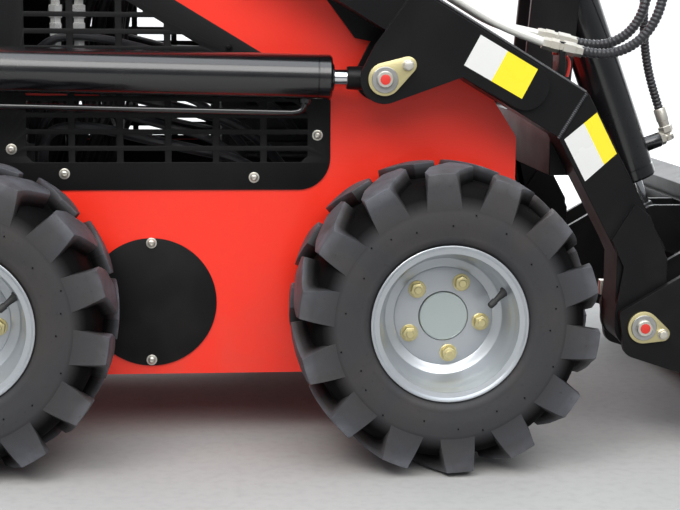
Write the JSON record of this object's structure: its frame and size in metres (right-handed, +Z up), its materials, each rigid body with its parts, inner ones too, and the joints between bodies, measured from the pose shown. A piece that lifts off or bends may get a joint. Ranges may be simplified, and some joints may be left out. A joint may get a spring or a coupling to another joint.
{
  "type": "compact stand-on skid steer loader",
  "caption": "Compact stand-on skid steer loader on lugged tyres, with a bent lift boom, side and tilt cylinders, a quick-attach bucket, a hood and a fold-up platform.",
  "frame": {"origin": "on the ground under the centre of the bounding box", "axes": "+X forward towards the bucket, +Z up, the machine's right side faces -Y"},
  "size_m": [2.072, 1.06, 1.229],
  "materials": {
    "tyre_rubber": "matte",
    "rim_silver": "satin",
    "bare_steel": "satin",
    "body_red": "gloss",
    "black_paint": "satin",
    "chromed_rod": "polished",
    "engine_dark": "rough",
    "black_plastic": "matte",
    "yellow_zinc": "passivated",
    "pale_pipe": "satin",
    "hose_rubber": "matte"
  },
  "bodies": {
    "chassis": {"side_plate_right": "body_red", "side_plate_left": "body_red", "chassis_frame": "body_red", "grille_right": "black_paint", "grille_left": "black_paint", "access_cover_right": "black_paint", "access_cover_left": "black_paint", "axle_housings": "bare_steel", "lift_base_pins": "yellow_zinc", "platform_mounts": "black_paint", "tow_eye": "yellow_zinc", "console": "body_red", "control_levers": "black_plastic", "handlebar": "black_paint", "thigh_pad": "black_plastic", "engine": "engine_dark", "muffler": "engine_dark", "hydraulic_tank": "black_paint", "fuel_tank": "black_plastic", "hydraulic_valve": "bare_steel"},
    "boom": {"boom_arm_right": "black_paint", "boom_arm_left": "black_paint", "boom_crossbeam": "black_paint", "boom_pins": "yellow_zinc", "tilt_base_pin": "yellow_zinc", "arm_pipes": "pale_pipe", "tilt_hose_rod_end": "hose_rubber", "tilt_hose_base_end": "hose_rubber"},
    "tool": {"tool_carrier": "black_paint", "tool_pins": "yellow_zinc", "bucket": "black_paint"},
    "wheel_front_right": {"tyre_front_right": "tyre_rubber", "rim_front_right": "rim_silver", "hub_front_right": "bare_steel"},
    "wheel_front_left": {"tyre_front_left": "tyre_rubber", "rim_front_left": "rim_silver", "hub_front_left": "bare_steel"},
    "wheel_rear_right": {"tyre_rear_right": "tyre_rubber", "rim_rear_right": "rim_silver", "hub_rear_right": "bare_steel"},
    "wheel_rear_left": {"tyre_rear_left": "tyre_rubber", "rim_rear_left": "rim_silver", "hub_rear_left": "bare_steel"},
    "lift_barrel_right": {"lift_barrel_right": "black_paint"},
    "lift_barrel_left": {"lift_barrel_left": "black_paint"},
    "lift_rod_right": {"lift_rod_right": "chromed_rod"},
    "lift_rod_left": {"lift_rod_left": "chromed_rod"},
    "tilt_barrel": {"tilt_barrel": "black_paint"},
    "tilt_rod": {"tilt_rod": "chromed_rod"},
    "hood": {"hood": "body_red"},
    "platform": {"platform": "black_paint"}
  },
  "joints": [
    {"name": "wheel_front_right_spin", "type": "hinge", "parent": "chassis", "child": "wheel_front_right", "pos_m": [0.0815, -0.408, 0.22812], "axis": [0, 1, 0], "continuous": true},
    {"name": "wheel_front_left_spin", "type": "hinge", "parent": "chassis", "child": "wheel_front_left", "pos_m": [0.0815, 0.408, 0.22812], "axis": [0, 1, 0], "continuous": true},
    {"name": "wheel_rear_right_spin", "type": "hinge", "parent": "chassis", "child": "wheel_rear_right", "pos_m": [-0.6295, -0.408, 0.22812], "axis": [0, 1, 0], "continuous": true},
    {"name": "wheel_rear_left_spin", "type": "hinge", "parent": "chassis", "child": "wheel_rear_left", "pos_m": [-0.6295, 0.408, 0.22812], "axis": [0, 1, 0], "continuous": true},
    {"name": "boom_lift", "type": "hinge", "parent": "chassis", "child": "boom", "pos_m": [-0.604, 0, 1.057], "axis": [0, -1, 0], "range_deg": [0, 80]},
    {"name": "lift_barrel_right_swing", "type": "hinge", "parent": "chassis", "child": "lift_barrel_right", "pos_m": [-0.694, -0.3275, 0.59], "axis": [0, -1, 0], "range_deg": [-1, 57.75]},
    {"name": "lift_rod_right_stroke", "type": "slide", "parent": "lift_barrel_right", "child": "lift_rod_right", "axis": [0.9998, 0, -0.0203], "range_m": [-0.002, 0.4931]},
    {"name": "lift_barrel_left_swing", "type": "hinge", "parent": "chassis", "child": "lift_barrel_left", "pos_m": [-0.694, 0.3275, 0.59], "axis": [0, -1, 0], "range_deg": [-1, 57.75]},
    {"name": "lift_rod_left_stroke", "type": "slide", "parent": "lift_barrel_left", "child": "lift_rod_left", "axis": [0.9998, 0, -0.0203], "range_m": [-0.002, 0.4931]},
    {"name": "tool_tilt", "type": "hinge", "parent": "boom", "child": "tool", "pos_m": [0.403, 0, 0.197], "axis": [0, -1, 0], "range_deg": [-100, 10]},
    {"name": "tilt_barrel_swing", "type": "hinge", "parent": "boom", "child": "tilt_barrel", "pos_m": [0.337, 0, 0.804], "axis": [0, -1, 0], "range_deg": [-9.06, 1.81]},
    {"name": "tilt_rod_stroke", "type": "slide", "parent": "tilt_barrel", "child": "tilt_rod", "axis": [0.3494, 0, -0.937], "range_m": [-0.0259, 0.2408]},
    {"name": "hood_lid", "type": "hinge", "parent": "chassis", "child": "hood", "pos_m": [-0.464, 0, 0.991], "axis": [0, -1, 0], "range_deg": [0, 60]},
    {"name": "platform_fold", "type": "hinge", "parent": "chassis", "child": "platform", "pos_m": [-0.736, 0, 0.202], "axis": [0, 1, 0], "range_deg": [0, 90]}
  ],
  "couplings": [
    {"joint": "lift_barrel_right_swing", "follows": "boom_lift", "ratio": 0.7094},
    {"joint": "lift_rod_right_stroke", "follows": "boom_lift", "m_per_rad": 0.35169},
    {"joint": "lift_barrel_left_swing", "follows": "boom_lift", "ratio": 0.7094},
    {"joint": "lift_rod_left_stroke", "follows": "boom_lift", "m_per_rad": 0.35169},
    {"joint": "tilt_barrel_swing", "follows": "tool_tilt", "ratio": 0.08058},
    {"joint": "tilt_rod_stroke", "follows": "tool_tilt", "m_per_rad": -0.13681}
  ]
}
